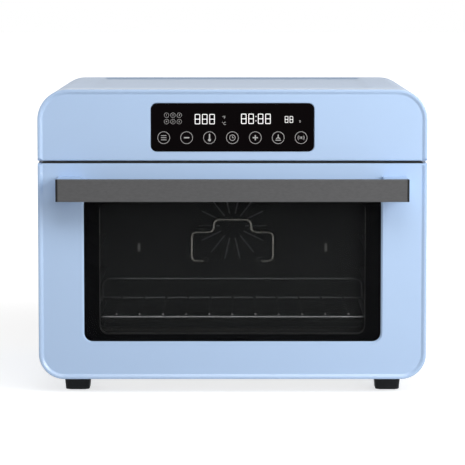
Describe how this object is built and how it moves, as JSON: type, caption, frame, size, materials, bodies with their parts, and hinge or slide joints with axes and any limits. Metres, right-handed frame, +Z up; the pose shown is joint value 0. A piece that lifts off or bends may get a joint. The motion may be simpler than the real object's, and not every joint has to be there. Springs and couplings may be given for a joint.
{
  "type": "sublimation oven",
  "caption": "Bench-top hot-air oven for sublimation blanks, with a drop-down glass door, bar handle, black touch panel, wire rack and a built-in vacuum pump.",
  "frame": {"origin": "on the bench, under the middle of the whole oven, handle and gland included", "axes": "+X to the right seen from the front, +Y from the door to the back, +Z up"},
  "size_m": [0.46, 0.436, 0.3624],
  "materials": {
    "blue_paint": "semi-gloss",
    "blue_moulding": "semi-gloss",
    "zinc_steel": "satin",
    "stainless": "satin",
    "bright_wire": "bright",
    "dark_enamel": "semi-gloss enamel",
    "heater_sheath": "matt, heat-darkened",
    "tinted_glass": "clear, dark tint",
    "clear_glass": "clear",
    "panel_glass": "gloss black",
    "grey_bar": "fine brushed, dark grey",
    "black_plastic": "matt",
    "black_rubber": "matt",
    "grey_silicone": "matt",
    "ceramic": "matt",
    "wool": "matt",
    "circuit_board": "matt",
    "steel_core": "matt",
    "aluminium": "plain"
  },
  "bodies": {
    "cabinet": {"outer_casing": "blue_paint", "base_pan": "zinc_steel", "rear_panel": "zinc_steel", "rear_screws": "bright_wire", "cord_gland": "black_plastic", "feet": "black_plastic", "foot_pads": "black_rubber", "foot_screws": "bright_wire", "control_fascia": "blue_moulding", "control_glass": "panel_glass", "display_module": "black_plastic", "key_pads": "black_rubber", "control_board": "circuit_board", "front_frame": "zinc_steel", "chamber_liner": "dark_enamel", "runner_panel_left": "dark_enamel", "runner_panel_right": "dark_enamel", "upper_heaters": "heater_sheath", "lower_heaters": "heater_sheath", "heater_bushes": "ceramic", "rear_heater": "heater_sheath", "wall_clips": "stainless", "fan_guard": "dark_enamel", "fan_housing": "zinc_steel", "fan_motor": "steel_core", "motor_bracket": "zinc_steel", "temperature_probe": "stainless", "thermal_cutout": "ceramic", "insulation_blanket": "wool", "component_shelf": "zinc_steel", "power_board": "circuit_board", "pump_mount": "black_rubber", "pump_motor": "steel_core", "pump_head": "black_plastic", "vacuum_hose": "grey_silicone", "vacuum_port": "stainless", "door_switch": "black_plastic", "hinge_brackets": "zinc_steel", "hinge_pins": "stainless"},
    "door": {"door_frame": "blue_moulding", "door_glass_outer": "tinted_glass", "door_inner_panel": "stainless", "door_glass_inner": "clear_glass", "glass_clips": "stainless", "door_seal": "grey_silicone", "hinge_leaves": "zinc_steel", "handle_bar": "grey_bar", "handle_end_caps": "black_plastic", "handle_brackets": "blue_moulding", "handle_screws": "bright_wire"},
    "fan": {"convection_impeller": "aluminium", "fan_shaft": "stainless", "fan_nut": "stainless", "motor_cooling_rotor": "aluminium"},
    "rack": {"wire_rack": "bright_wire"},
    "tray": {"crumb_tray": "dark_enamel"},
    "plunger": {"switch_plunger": "black_plastic"}
  },
  "joints": [
    {"name": "door_hinge", "type": "hinge", "parent": "cabinet", "child": "door", "pos_m": [0, -0.153, 0.027], "axis": [1, 0, 0], "range_deg": [0, 78]},
    {"name": "fan_spin", "type": "hinge", "parent": "cabinet", "child": "fan", "pos_m": [0, 0.1376, 0.175], "axis": [0, 1, 0], "continuous": true},
    {"name": "rack_slide", "type": "slide", "parent": "cabinet", "child": "rack", "axis": [0, -1, 0], "range_m": [0, 0.118]},
    {"name": "tray_slide", "type": "slide", "parent": "cabinet", "child": "tray", "axis": [0, -1, 0], "range_m": [0, 0.022]},
    {"name": "plunger_slide", "type": "slide", "parent": "cabinet", "child": "plunger", "axis": [0, -1, 0], "range_m": [0, 0.003]}
  ],
  "couplings": [
    {"joint": "rack_slide", "follows": "door_hinge", "m_per_rad": 0.085},
    {"joint": "tray_slide", "follows": "door_hinge", "m_per_rad": 0.015},
    {"joint": "plunger_slide", "follows": "door_hinge", "m_per_rad": 0.0022}
  ]
}
